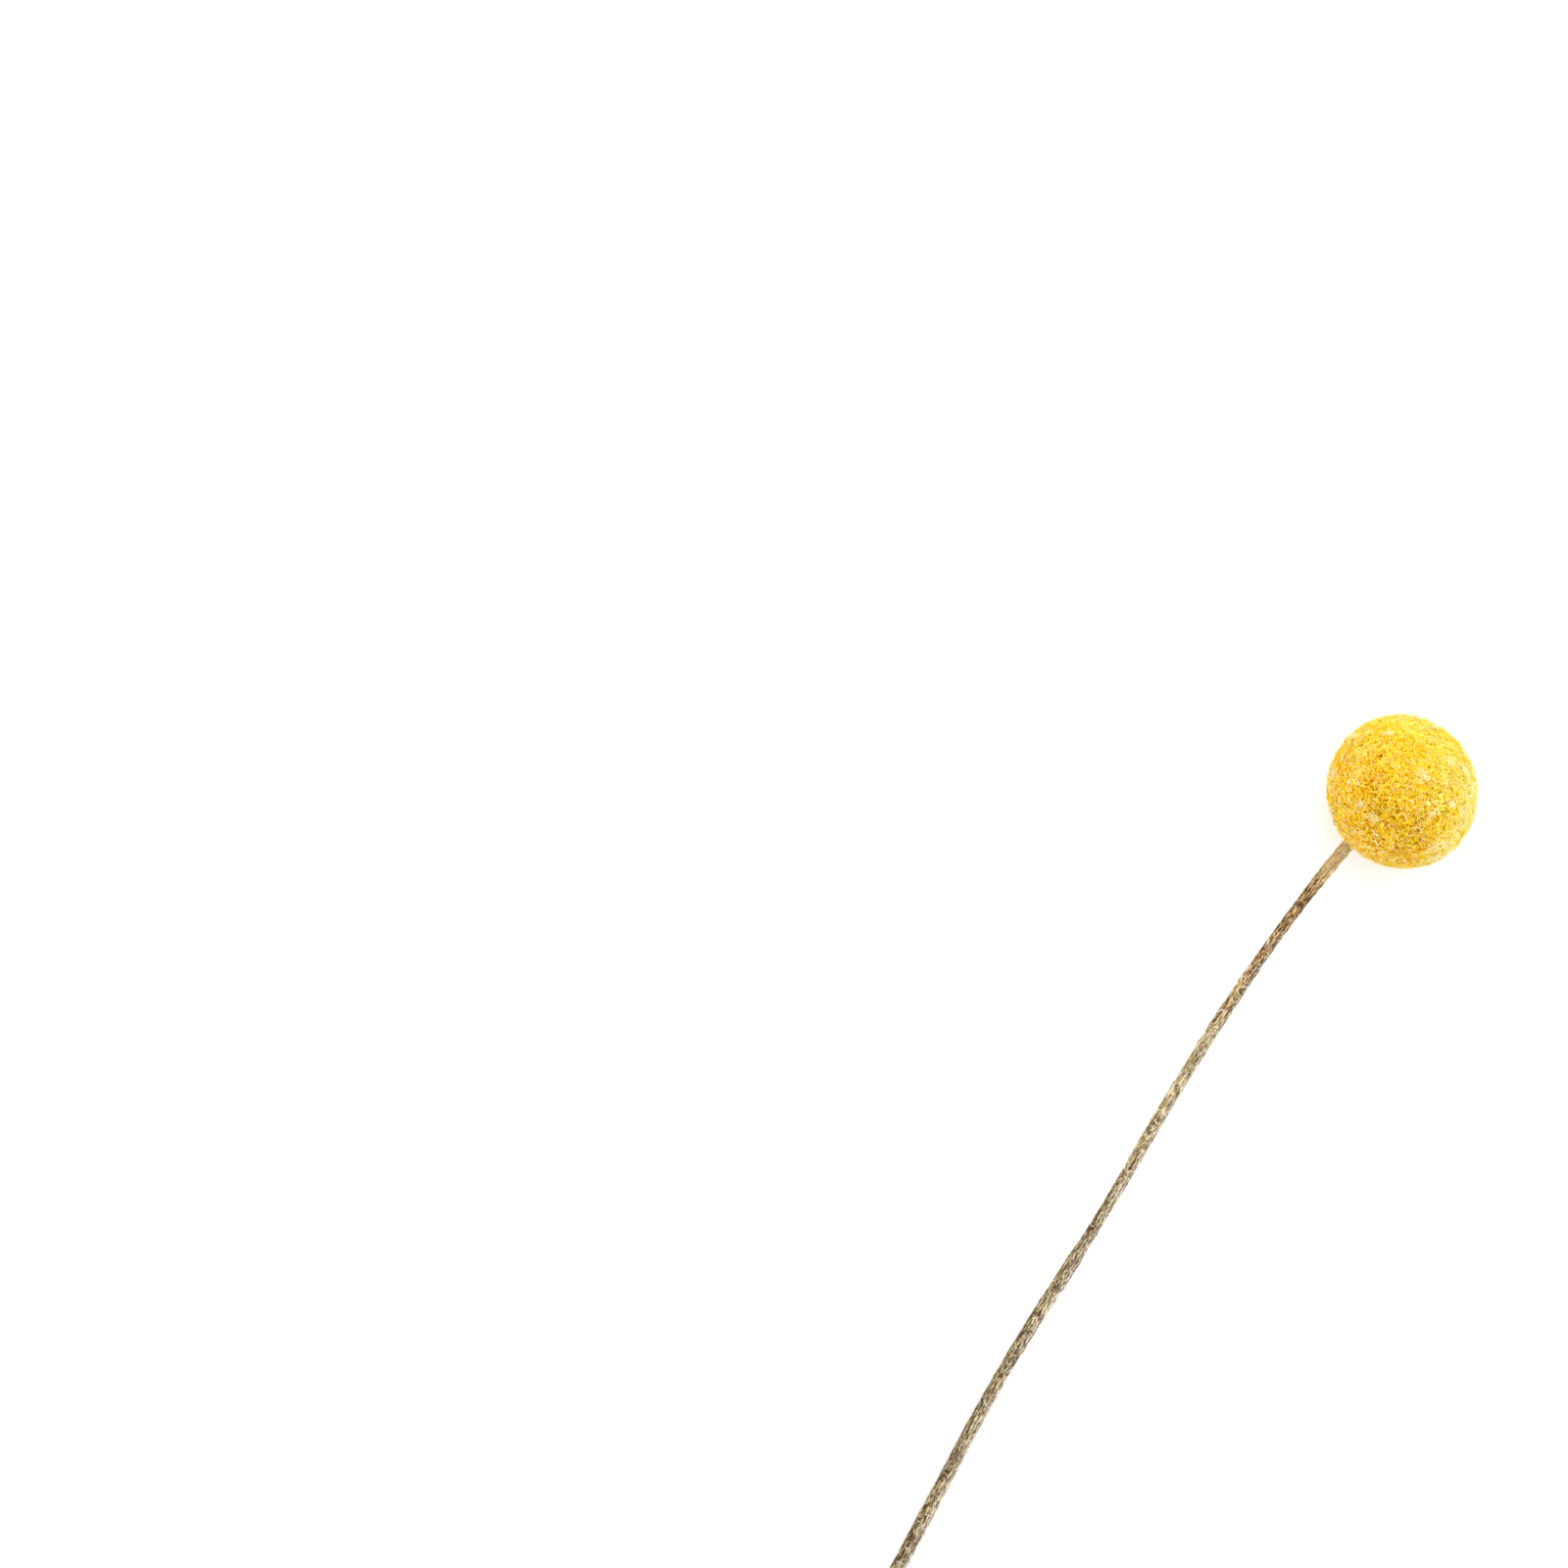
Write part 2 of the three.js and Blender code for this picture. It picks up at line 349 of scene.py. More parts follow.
def scar_height(distance, angle):
    """A ledge that rises as e^(past / tail) from the foot's side, drops in a straight line on the head's
    side, and fades round the stalk as e^((cos(turn) - 1) / half angle²)."""
    past = distance[..., None] - SCAR_PLACES
    turn = angle[..., None] - SCAR_TURN * np.arange(len(SCAR_PLACES))
    along = np.where(past > 0, np.clip(1 - past / SCAR_DROP, 0, 1), np.exp(np.minimum(past, 0) / SCAR_TAIL))
    around = np.exp((np.cos(turn) - 1) / SCAR_HALF_ANGLE**2)
    return (SCAR_HEIGHT * along * around).sum(-1)


def unrolled(distance, angle, stretch=1.0, radius=1.2):
    """A place for noise: the distance divided by stretch, and a circle round the stalk, so it has no seam."""
    return np.stack([distance / stretch, radius * np.cos(angle), radius * np.sin(angle)], axis=-1)


def rib_turn(distance, angle):
    """Ribs × (angle + twist × the share of the stalk's length): a whole turn from one rib to the next."""
    return RIBS * (angle + RIB_TWIST * distance / STALK_LENGTH)


def stalk_radius(distance, angle):
    """The stalk's own radius × (1 + rib share × cos(rib turn) + unevenness), plus the scars."""
    shares = 1 + RIB_SHARE * np.cos(rib_turn(distance, angle))
    for share, stretch, length, seed in STALK_UNEVENNESS:
        shares = shares + share * waves(unrolled(distance, angle, stretch), length, seed)
    bare = eased(distance, *STALK_RADII) - eased(distance, *FELT_ROOM)
    return bare * shares + scar_height(distance, angle)


def stalk_axes(distance):
    """The line's point at each distance, and the unit directions along it, to its side and above it."""
    point, along = (
        np.stack([np.interp(distance, line_distance, part) for part in values.T], axis=-1)
        for values in (line_points, line_along)
    )
    side = unit(np.cross(UP, along))
    return point, unit(along), side, np.cross(along, side)


def stalk_surface(distance, angle, lift=0.0):
    """The line's point + radius × (cos(angle) × side + sin(angle) × above). Near the foot it leans along the
    stalk by slant × radius × cos(angle), which makes the cut slanted."""
    point, along, side, above = stalk_axes(distance)
    radius = (stalk_radius(distance, angle) + lift)[..., None]
    cos, sin = np.cos(angle)[..., None], np.sin(angle)[..., None]
    near_foot = np.clip(1 - distance / CUT_REACH, 0, 1)[..., None]
    return above_table(point + radius * (cos * side + sin * above + near_foot * CUT_SLANT * cos * along))


# %% [markdown]
# ## The stalk's mesh
# The stalk could be a curve with a round bevel, but a curve has no ribs, scars or slanted cut. So it is a
# grid: rings of points along, sides round, closed at the tip inside the head, and at the foot by the cut
# face. The cut shows a rind of darker fibres and a pale, slightly sunken pith.
# The stalk is very long for its width. For its flat map it is slit along its underside and cut in seven
# strips that lie side by side, so that no part of the square is wasted.

# %% The stalk's grid
STALK_STRIPS = 7
STALK_RINGS = STALK_STRIPS * 150
STALK_SIDES = 48
CUT_RINGS = 7
PITH_SUNK = 0.35

ring_distance = np.linspace(0, STALK_LENGTH, STALK_RINGS + 1)
side_angle = -math.pi / 2 + np.arange(STALK_SIDES) * math.tau / STALK_SIDES
grid_distance, grid_angle = np.meshgrid(ring_distance, side_angle, indexing="ij")
grid_points = stalk_surface(grid_distance, grid_angle).reshape(-1, 3)
grid_numbers = np.arange(len(grid_points)).reshape(grid_angle.shape)


def cut_face(rim, middle, sunk):
    """Rings from the rim in to the middle. At a share t of the way in, a ring is sunk along the stalk by
    sunk × sin²(πt / 2), so that the pith lies a little deeper than the rind."""
    t = (np.arange(1, CUT_RINGS) / CUT_RINGS)[:, None, None]
    return (rim + (middle - rim) * t + sunk * np.sin(t * math.pi / 2) ** 2).reshape(-1, 3)


foot_middle, foot_along, _, _ = stalk_axes(np.zeros(1))
foot_sunk = PITH_SUNK * foot_along
cut_points = cut_face(grid_points[:STALK_SIDES], foot_middle, foot_sunk)
stalk_points = np.vstack([grid_points, cut_points, foot_middle + foot_sunk, line_points[-1:]])
foot_number = len(stalk_points) - 2
cut_numbers = np.arange(len(grid_points), foot_number).reshape(-1, STALK_SIDES)
cut_numbers = np.vstack([grid_numbers[0], cut_numbers])

# %% The stalk's faces
def grid_faces(numbers):
    """Faces between neighbouring rows and columns of a grid of point numbers that closes round its columns,
    or of many such grids at once."""
    after = np.roll(numbers, -1, axis=-1)
    corners = [numbers[..., :-1, :], after[..., :-1, :], after[..., 1:, :], numbers[..., 1:, :]]
    return np.stack(corners, axis=-1).reshape(-1, 4)


def fan_faces(ring, middle):
    """Triangles from a closed ring of point numbers to one middle point."""
    return np.stack([ring, np.roll(ring, -1), np.full(len(ring), middle)], axis=-1)


stalk_faces = [
    grid_faces(grid_numbers),
    grid_faces(cut_numbers)[:, ::-1],
    fan_faces(cut_numbers[-1], foot_number)[:, ::-1],
    fan_faces(grid_numbers[-1], foot_number + 1),
]

# %% The stalk's flat map
STRIP_FROM, STRIP_SHARE = 0.03, 0.94  # of the strip's width
STRIP_LOW, STRIP_HEIGHT = 0.01, 0.91
CUT_MIDDLE = np.array([0.06, 0.96])
CUT_SCALE = 0.035 / 1.8
TIP_CORNERS = np.array([[0.5, 0.96], [0.51, 0.96], [0.5, 0.97]])


def strip_map(rings, sides):
    """Four corners for each grid face: the strip's own column and the turn across it, and the distance up."""
    ring, side = np.meshgrid(np.arange(rings), np.arange(sides), indexing="ij")
    per_strip = rings // STALK_STRIPS
    strip = (ring // per_strip)[..., None]
    corner_ring = np.stack([ring, ring, ring + 1, ring + 1], axis=-1) - strip * per_strip
    corner_side = np.stack([side, side + 1, side + 1, side], axis=-1)
    across = (strip + STRIP_FROM + STRIP_SHARE * corner_side / sides) / STALK_STRIPS
    return np.stack([across, STRIP_LOW + STRIP_HEIGHT * corner_ring / per_strip], axis=-1).reshape(-1, 2)


def cut_map(faces):
    """Corners of faces on the cut: their places across the stalk, shrunk onto a small disc of the map."""
    return CUT_MIDDLE + CUT_SCALE * (stalk_points[faces.ravel()] - stalk_points[foot_number])[:, 1:]


stalk_map = np.vstack([
    strip_map(STALK_RINGS, STALK_SIDES),
    cut_map(stalk_faces[1]),
    cut_map(stalk_faces[2]),
    np.tile(TIP_CORNERS, (STALK_SIDES, 1)),
])

# %% [markdown]
# ## The stalk's finish
# Dried stalks are tan where they are young and woolly, just below the head. Further down the felt wears
# thin, and brown bark fibres show between cream ones. Some lengths are darker on one side, where the stalk
# has weathered, and just below the head the right side is darker with painted shade. The pattern runs along
# the stalk, so it reads a mark that the mesh keeps at each point: the distance along and a circle round. Long
# thin noise gives fibres, rounder noise gives felt and blotches, and the grooves between the ribs are a
# little darker with painted shade. How weathered, grey and old the stalk is at each point are marks too; the
# weathering mark also carries the painted shade. They follow levels set at places below the head. Weathering
# and greying also differ from side to side, and have slow waves added.

# %% The stalk's marks
HIDDEN_LENGTH = 4.4  # of the stalk, from its tip back to about where it comes out of the florets
WEATHERED = (
    [0, 5.5, 9, 22, 32, 42, 50, 58, 66, 75, 90, 170, 345],
    [0.0, 0.1, 0.95, 0.95, 0.65, 0.6, 0.42, 0.45, 0.55, 0.75, 1.0, 1.0, 0.9],
)
WEATHERED_SIDE = 1.25  # the angle that has weathered most
WEATHERED_ON_SIDE = ([6, 12, 34, 44, 74, 90], [0, 1, 0.8, 0.1, 0.1, 0.8])
# where painted shade darkens the right side below the head
PAINTED_SHADE_ON_RIGHT = ([8, 12, 30, 40], [0, 1, 1, 0])
GREYED = ([0, 9, 30, 48, 90, 345], [0.0, 0.15, 0.35, 0.65, 0.7, 0.7])
LEAST_GREY_SIDE = 0.2
AGED = ([20, 55, 72, 98], [0.0, 0.75, 0.75, 1.0])

cut_depth = np.repeat(np.arange(1, CUT_RINGS) / CUT_RINGS, STALK_SIDES)
cut_depth = np.concatenate([np.zeros(len(grid_points)), cut_depth, [1.0, 0.0]])
all_distance = np.concatenate([grid_distance.ravel(), np.zeros(len(cut_points) + 1), [STALK_LENGTH]])
all_angle = np.concatenate([grid_angle.ravel(), np.tile(side_angle, CUT_RINGS - 1), [0.0, 0.0]])
below_head = STALK_LENGTH - HIDDEN_LENGTH - all_distance
stalk_place = unrolled(all_distance, all_angle)
stalk_place[len(grid_points) :, 1:] *= (1 - cut_depth[len(grid_points) :])[:, None]

weathering = eased(below_head, *WEATHERED)
weathering = weathering + 0.15 * waves(stalk_place / [5, 1, 1], 1.4, 11)
weathering = weathering + 0.2 * np.cos(all_angle - WEATHERED_SIDE) * eased(below_head, *WEATHERED_ON_SIDE)
# Painted shade: the right side just below the head is darker, shown as more bark.
weathering = weathering + 0.4 * np.maximum(-np.cos(all_angle), 0) * eased(below_head, *PAINTED_SHADE_ON_RIGHT)
greying = eased(below_head, *GREYED)
greying = greying - 0.65 * np.cos(all_angle - LEAST_GREY_SIDE) * eased(below_head, [4, 14], [0, 1])
greying = greying + 0.1 * waves(stalk_place / [6, 1, 1], 2.0, 12)
ageing = eased(below_head, *AGED)


def groove_depth(distance, angle):
    """0 on a rib and 1 in the groove beside it: half of 1 - cos(rib turn), made uneven by slow waves."""
    slow = 0.9 * waves(unrolled(distance, angle, 14.0), 1.4, 13)
    return 0.5 - 0.5 * np.cos(rib_turn(distance, angle) + slow)


# %% The stalk's finish
# Colours from the crest of the grain to its depth, near the head and far down
WOOL_COLOURS = (
    ((0.54, 236, 210, 164), (0.66, 198, 166, 110), (0.78, 128, 94, 52)),
    ((0.54, 209, 205, 166), (0.66, 160, 151, 109), (0.78, 100, 72, 42)),
)
BARK_COLOURS = (
    ((0.53, 222, 188, 130), (0.61, 142, 100, 48), (0.68, 88, 54, 18), (0.78, 38, 20, 8)),
    ((0.53, 189, 179, 134), (0.61, 121, 105, 63), (0.68, 86, 60, 30), (0.78, 44, 28, 10)),
)
ASH_COLOURS = (
    ((0.54, 176, 160, 140), (0.7, 66, 52, 46)),
    ((0.54, 225, 212, 190), (0.65, 142, 126, 104), (0.78, 72, 54, 42)),
)
DARK_FLECKS = (paint(60, 34, 12), paint(54, 40, 16))
CREAM_FIBRES = (paint(232, 208, 162), paint(228, 216, 200))
RIND = paint(108, 84, 52)
PITH = ((0.35, 180, 156, 112), (0.65, 216, 198, 160))


def stalk_finish():
    """The grain, a little darker in the grooves as painted shade, picks a colour of wool, and of bark where
    the felt has worn thin and, as painted shade, on the right side just below the head. Ash grey lies over
    both, then dark flecks and cream fibres. The cut has its own rind and pith."""
    finish = Finish("dried_stalk", 0.85, Specular_IOR_Level=0.25)
    place = finish.mark("place", "Vector")
    weathered_and_shaded = finish.mark("weathering")
    grey = finish.mark("greying")
    aged = finish.mark("ageing")
    groove = finish.mark("groove")
    cut = finish.mark("cut")
    fibres = finish.noise(finish.stretched(place, 0.16, 1, 1), 1.4, 4.0, 0.7)
    threads = finish.noise(finish.stretched(place, 0.22, 1, 1), 3.8, 2.0, 0.7)
    felt = finish.noise(finish.stretched(place, 0.6, 1, 1), 1.2, 4.0, 0.7)
    locks = finish.noise(finish.stretched(place, 0.45, 1, 1), 3.6, 2.0, 0.6)
    flecks = finish.noise(finish.stretched(place, 0.34, 1.1, 0.9), 3.2, 2.0, 0.6)
    # Deeper in a groove the grain is darker: painted shade in the creases between the ribs.
    grain = groove * 0.12 + (1 - fibres) * 0.36 + (1 - threads) * 0.84

    def by_age(share, colours):
        return finish.blend(share, finish.ramp(grain, colours[0]), finish.ramp(grain, colours[1]))

    shown = finish.level(weathered_and_shaded + (felt - 0.5) * 2.0, 0.3, 0.75)
    skin = finish.blend(shown, by_age(aged, WOOL_COLOURS), by_age(aged, BARK_COLOURS))
    ashen = finish.level(grey + (flecks - 0.5) * 1.2, 0.35, 1.0) * 0.75
    skin = finish.blend(ashen, skin, by_age(finish.level(aged, 0.0, 0.6), ASH_COLOURS))
    dark = finish.level(flecks, 0.42, 0.36) * shown * 0.8
    skin = finish.blend(dark, skin, finish.blend(aged, *DARK_FLECKS))
    cream = finish.level(locks * 0.7 + felt * 0.3, 0.53, 0.63) * finish.level(weathered_and_shaded, 0.1, 0.5)
    cream = cream * (1.15 - aged * 0.35) * (0.4 + finish.level(grey, 0.0, 1.2) * 0.45)
    skin = finish.blend(cream, skin, finish.blend(grey, *CREAM_FIBRES))
    pith = finish.ramp(finish.noise(place, 6.0, 2.0), PITH)
    core = finish.blend(finish.level(cut, 0.22, 0.4), RIND, pith)
    finish.colour(finish.blend(finish.level(cut, 0.0, 0.08), skin, core))
    finish.relief(fibres * 0.4 + threads * 0.6 + felt * 0.3 - groove * 0.3, 0.2)
    return finish.material


make_piece("stalk", stalk_points, stalk_faces, stalk_finish(), STALK_PART, stalk_map,
           place=stalk_place, weathering=weathering, greying=greying, ageing=ageing, cut=cut_depth,
           groove=groove_depth(all_distance, all_angle))


# %% [markdown]
# ## Hairs
# Hair curves and particles would be the quick way to make wool, but they are lost when the model is saved
# for other programs. So each hair is a thin tube with three sides. All hairs of one kind are made at once:
# their middle lines are one array of hairs × points, and the tubes round them another.
# The colour of hairs and florets needs no pattern, only a tone from dark to light and a warmth. Both are kept
# at the points, and the flat map simply uses them as its two directions, like a painter's chart of mixed
# colours.

# %% Pieces coloured by tone and warmth
def chart_finish(name, cool, warm, roughness=0.9, **constants):
    """A finish with two ramps of tone, one for warmth 0 and one for warmth 1, blended by the warmth."""
    finish = Finish(name, roughness, **constants)
    tone = finish.mark("tone")
    finish.colour(finish.blend(finish.mark("warmth"), finish.ramp(tone, cool), finish.ramp(tone, warm)))
    return finish.material


def chart_piece(name, points, faces, finish, part, tone, warmth):
    """A piece coloured by tone and warmth, which are its flat map's two directions too."""
    chart = np.clip(np.stack([tone, warmth], axis=-1), 0.01, 0.99)
    make_piece(name, points, faces, finish, part, chart, tone=tone, warmth=warmth)


# %% Tubes round many lines
HAIR_SIDES = 3
CORNER_STEPS = 0.01 * np.array([-1.0, 0.0, 1.0])


def hair_tubes(paths, outward, radius):
    """Points and faces of three-sided tubes. A corner is the path's point + radius × (cos(turn) × across +
    sin(turn) × upward), with across at right angles to the path and to the surface's outward direction."""
    along = unit(np.gradient(paths, axis=1))
    across = unit(np.cross(along, outward))
    upward = np.cross(along, across)
    turn = np.arange(HAIR_SIDES)[:, None] * math.tau / HAIR_SIDES
    ring = np.cos(turn) * across[:, :, None] + np.sin(turn) * upward[:, :, None]
    points = above_table(paths[:, :, None] + radius[:, :, None, None] * ring, 0.03)
    numbers = np.arange(points.size // 3).reshape(points.shape[:3])
    ends = np.concatenate([numbers[:, 0, ::-1], numbers[:, -1]])
    return points.reshape(-1, 3), [grid_faces(numbers), ends]


def hair_piece(name, paths, outward, radius, tone, warmth, finish, part):
    """All hairs of one kind as one piece. Tone and warmth are values for each ring of each hair. They are
    kept between 0 and 1, with a small step from corner to corner."""
    tone, warmth = (np.clip((values[..., None] + CORNER_STEPS).ravel(), 0, 1) for values in (tone, warmth))
    points, faces = hair_tubes(paths, outward, radius)
    chart_piece(name, points, faces, finish, part, tone, warmth)


# %% [markdown]
# ## Wool on the stalk
# The stalk's wool isn't combed: long soft hairs wander over it, cross each other, and lie almost flat. Each
# hair starts at a random distance and angle, and walks over the surface in small steps while its heading
# swings. Some lie along the stalk, and some go round it. A few lift off, which gives the stalk its slightly
# soft edge. Locks of three hairs side by side catch the light, and short hairs crowd on the neck.

# %% A walk over the stalk
WALK_CURL = 0.7
WALK_RADIUS = 1.25  # turns steps round the stalk into angles
HAIR_CLEARANCE = 0.02
HAIR_ARCH = 0.05
SUNNY_ANGLE = 0.3


def stalk_walk(draw, start, angle, length, heading, lift, rings):
    """Lines of hairs on the stalk. The heading at a share t is heading + curl × sin(2π × beats × t + phase) +
    bend × (t - ½), and each step moves along by cos(heading) and round by sin(heading) / radius. A hair's
    height is clearance + lift × t² + arch × sin(πt) × its own share."""
    count = len(start)
    t = np.linspace(0, 1, rings)
    beats = draw.uniform(0.3, 0.8, (count, 1))
    phase = draw.uniform(0, math.tau, (count, 1))
    bend = draw.normal(0, 0.9, (count, 1))
    swing = heading[:, None] + WALK_CURL * np.sin(math.tau * beats * t + phase) + bend * (t - 0.5)
    step = (length / (rings - 1))[:, None]
    distance = start[:, None] + np.cumsum(np.cos(swing) * step, axis=1)
    turn = angle[:, None] + np.cumsum(np.sin(swing) * step, axis=1) / WALK_RADIUS
    distance = np.clip(distance, 0.3, STALK_LENGTH - 3)
    arch = HAIR_ARCH * np.sin(math.pi * t) * draw.uniform(0, 1.6, (count, 1))
    paths = stalk_surface(distance, turn, HAIR_CLEARANCE + lift[:, None] * t**2 + arch)
    return paths, unit(paths - stalk_axes(distance)[0]), t


def bundled(draw, paths, outward, t, bundle, radius):
    """Each line repeated by the hairs of its bundle, each a hair's width beside the last and a little
    shifted. They splay towards both ends."""
    beside = unit(np.cross(np.gradient(paths, axis=1), outward))
    place = (np.arange(bundle) - (bundle - 1) / 2)[None, :, None, None] * 2 * radius
    splay = 0.6 + draw.uniform(0, 1.6, (len(paths), 1, 1, 1)) * np.abs(t - 0.5)[:, None] * 2
    shift = draw.normal(0, 0.3 * radius * (bundle > 1), (len(paths), bundle, 1, 3))
    paths = paths[:, None] + place * splay * beside[:, None] + shift
    return paths.reshape(-1, len(t), 3), np.repeat(outward, bundle, axis=0)


def wool(name, finish, count, seed, span, lengths, radius, lift_off, tones, spread=1.1, rings=7, bundle=1,
         fading=1.0, crowding=0.0, dulled_and_shaded=1.0):
    """Hairs on a span of the stalk. With a fading above 1 they crowd towards the head's end of the span, and
    with a crowding above 0 towards the stalk's right side. They are warmer on the sunny side, most of all
    near the head. With the darkening share at 1 they are darker on the sunny side far down, and with painted
    shade on the other side near the head. Each thins towards its ends by 0.35 + 0.65 × sin(πt)."""
    draw = np.random.default_rng(seed)
    start = span[1] - (span[1] - span[0]) * draw.uniform(0, 1, count) ** fading
    angle = draw.vonmises(math.pi, crowding, count)
    heading = draw.normal(0, spread, count) + math.pi * draw.integers(0, 2, count)
    length = draw.uniform(*lengths, count)
    lift = lift_off * draw.uniform(0, 1, count) ** 4
    near_head = eased(STALK_LENGTH - start, [12, 45], [1.0, 0.0])
    far_down = eased(STALK_LENGTH - start, [75, 105], [0.0, 1.0])
    sunny = 0.5 + 0.5 * np.cos(angle - SUNNY_ANGLE)
    # Near the head the darkening on the side away from the sunny one is painted shade.
    dulling_and_shade = dulled_and_shaded * (0.4 * near_head * (1 - sunny) + 0.2 * far_down * sunny)
    own_tone = (draw.uniform(*tones, count) - dulling_and_shade)[:, None, None]
    own_warmth = (draw.uniform(0, 0.5, count) + (0.2 + 0.5 * near_head) * sunny)[:, None, None]
    paths, outward, t = stalk_walk(draw, start, angle, length, heading, lift, rings)
    paths, outward = bundled(draw, paths, outward, t, bundle, radius)
    taper = 0.35 + 0.65 * np.sin(math.pi * np.clip(t, 0.06, 0.94))
    thin = radius * draw.uniform(0.6, 1.4, (len(paths), 1)) * taper
    tone = own_tone + draw.normal(0, 0.06, (count, bundle, 1)) + 0.06 * (t - 0.5)
    warmth = own_warmth + draw.normal(0, 0.05, (count, bundle, 1)) + 0.03 * t
    hair_piece(name, paths, outward, thin, tone, warmth, finish, STALK_PART)


# %% Wool on the stalk
WOOL_COOL = ((0.0, 66, 50, 34), (0.5, 158, 144, 114), (1.0, 248, 240, 220))
WOOL_WARM = ((0.0, 80, 52, 20), (0.5, 180, 148, 94), (1.0, 248, 229, 188))
NECK_COOL = ((0.0, 140, 116, 72), (0.5, 210, 188, 140), (1.0, 250, 234, 194))
NECK_WARM = ((0.0, 150, 114, 60), (0.5, 218, 186, 124), (1.0, 250, 228, 174))

wool_finish = chart_finish("stalk_wool", WOOL_COOL, WOOL_WARM, Specular_IOR_Level=0.25)
wool("stalk_wool", wool_finish, count=2600, seed=21, span=(0, STALK_LENGTH - 6), lengths=(1.0, 2.6),
     radius=0.032, lift_off=0.3, tones=(0.05, 1.0))
wool("wool_locks", wool_finish, count=1320, seed=23, span=(0, STALK_LENGTH - 15), lengths=(0.8, 1.8),
     radius=0.05, lift_off=0.1, tones=(0.7, 1.0), spread=0.75, rings=6, bundle=3, crowding=0.6)
neck_finish = chart_finish("neck_wool", NECK_COOL, NECK_WARM)
wool("neck_wool", neck_finish, count=1100, seed=22, span=(STALK_LENGTH - 13.5, STALK_LENGTH - 4),
     lengths=(0.9, 1.8), radius=0.032, lift_off=0.2, tones=(0.2, 0.95), spread=0.6, fading=2.4, dulled_and_shaded=0.0)

# %% [markdown]
# ## The head
# The head is a ball, not quite round, with its lowest part pressed flat where it lies. Directions from its
# middle place everything on it. The florets grow in the spiral that plants use: each one turns by the golden
# angle from the last, which packs them evenly with no seam or pole. Drying shifts them, so here they start
# in that spiral, are scattered a little, and then push each other apart.

# %% The head's shape
HEAD_RADIUS = 14.0
HEAD_CENTRE = np.array([176.0, 0.0, 13.4])
LUMPINESS = 0.006
NARROWER = 0.022
SUN_DRIED = 0.012
NARROW_TURN = math.radians(12)
NARROW_WAY = math.cos(NARROW_TURN) * VIEW_RIGHT + math.sin(NARROW_TURN) * VIEW_UPWARD
GOLDEN_ANGLE = math.pi * (3 - math.sqrt(5))


def head_radius(direction):
    """14 × (1 + 0.006 × (sin(2.3x + 0.7) + sin(3.1y - 1.2) + sin(2.7z + 2.1))), less a small share ×
    (direction · narrow way)², because the head is a little narrower one way than the other, and has shrunk
    more on one side."""
    x, y, z = np.moveaxis(direction, -1, 0)
    lumps = np.sin(2.3 * x + 0.7) + np.sin(3.1 * y - 1.2) + np.sin(2.7 * z + 2.1)
    narrow = direction @ NARROW_WAY
    shares = 1 + LUMPINESS * lumps - NARROWER * narrow**2 - SUN_DRIED * np.maximum(narrow, 0) ** 2
    return HEAD_RADIUS * shares


def spiral(count):
    """Even directions: heights in equal steps from 1 to -1 along the stalk's line, each turned by the golden
    angle."""
    order = np.arange(count)
    height = 1 - (2 * order + 1) / count
    width = np.sqrt(1 - height**2)
    along = line_along[-1]
    side = unit(np.cross(UP, along))
    above = np.cross(along, side)
    turn = (order * GOLDEN_ANGLE)[:, None]
    return width[:, None] * (np.cos(turn) * side + np.sin(turn) * above) + height[:, None] * along


def turn_between(direction, other):
    """The angle between directions: the arc cosine of direction · other."""
    return np.arccos(np.clip(direction @ other, -1, 1))


from_centre = np.linalg.norm(line_points - HEAD_CENTRE, axis=1)
neck_place = line_points[np.argmin(np.abs(from_centre - HEAD_RADIUS))]
NECK = unit(neck_place - HEAD_CENTRE)
print("the stalk enters the head at", neck_place.round(1))

# %% [markdown]
# ## The head's colouring
# One head isn't one yellow. The side that had the sun is lemon yellow, other parts are more orange, and older
# florets turn olive brown. Each patch is soft and given as a direction seen from above, and slow waves add
# the rest. A patch changes the tone and the warmth of every floret and hair in it.

# %% Patches
# A patch's warmth is the head's own colour. Its tone change is partly the florets' own tone and partly
# painted light and shade: lighter on the right and round the rim, darker low in the middle.
PATCHES = [  # right, up, half width, tone, warmth
    (-0.10, -0.54, 0.42, -0.18, 0.04),
    (-0.30, 0.12, 0.36, -0.05, 0.02),
    (-0.90, 0.12, 0.50, 0.13, 0.46),
    (-0.70, -0.70, 0.42, 0.20, 0.72),
    (-0.60, 0.66, 0.42, 0.08, 0.10),
    (0.06, 0.80, 0.45, 0.09, -0.14),
    (0.64, 0.54, 0.45, 0.05, -0.20),
    (0.52, 0.10, 0.40, 0.10, -0.26),
    (0.96, -0.10, 0.40, 0.46, -0.54),
    (0.62, -0.70, 0.34, 0.46, -0.30),
    (0.00, -0.92, 0.30, -0.04, 0.16),
    (0.38, -0.50, 0.22, -0.06, 0.04),
    (0.05, 0.98, 0.24, 0.22, -0.12),
]
# Painted light falls on the head from this side, and painted shade lies on the other.
PAINTED_LIGHT_WAY = unit(0.35 * VIEW_RIGHT + 0.95 * VIEW_UPWARD + 0.35 * UP)
DOWNY_WAY = unit(VIEW_RIGHT - 0.35 * VIEW_UPWARD)
MIDDLING_TONE = 0.62


def seen_from_above(right, up):
    """The direction of a place on the head's disc as the camera sees it: right × r + up × u +
    √(1 - r² - u²) × z."""
    height = math.sqrt(max(1 - right * right - up * up, 0))
    return right * VIEW_RIGHT + up * VIEW_UPWARD + height * UP


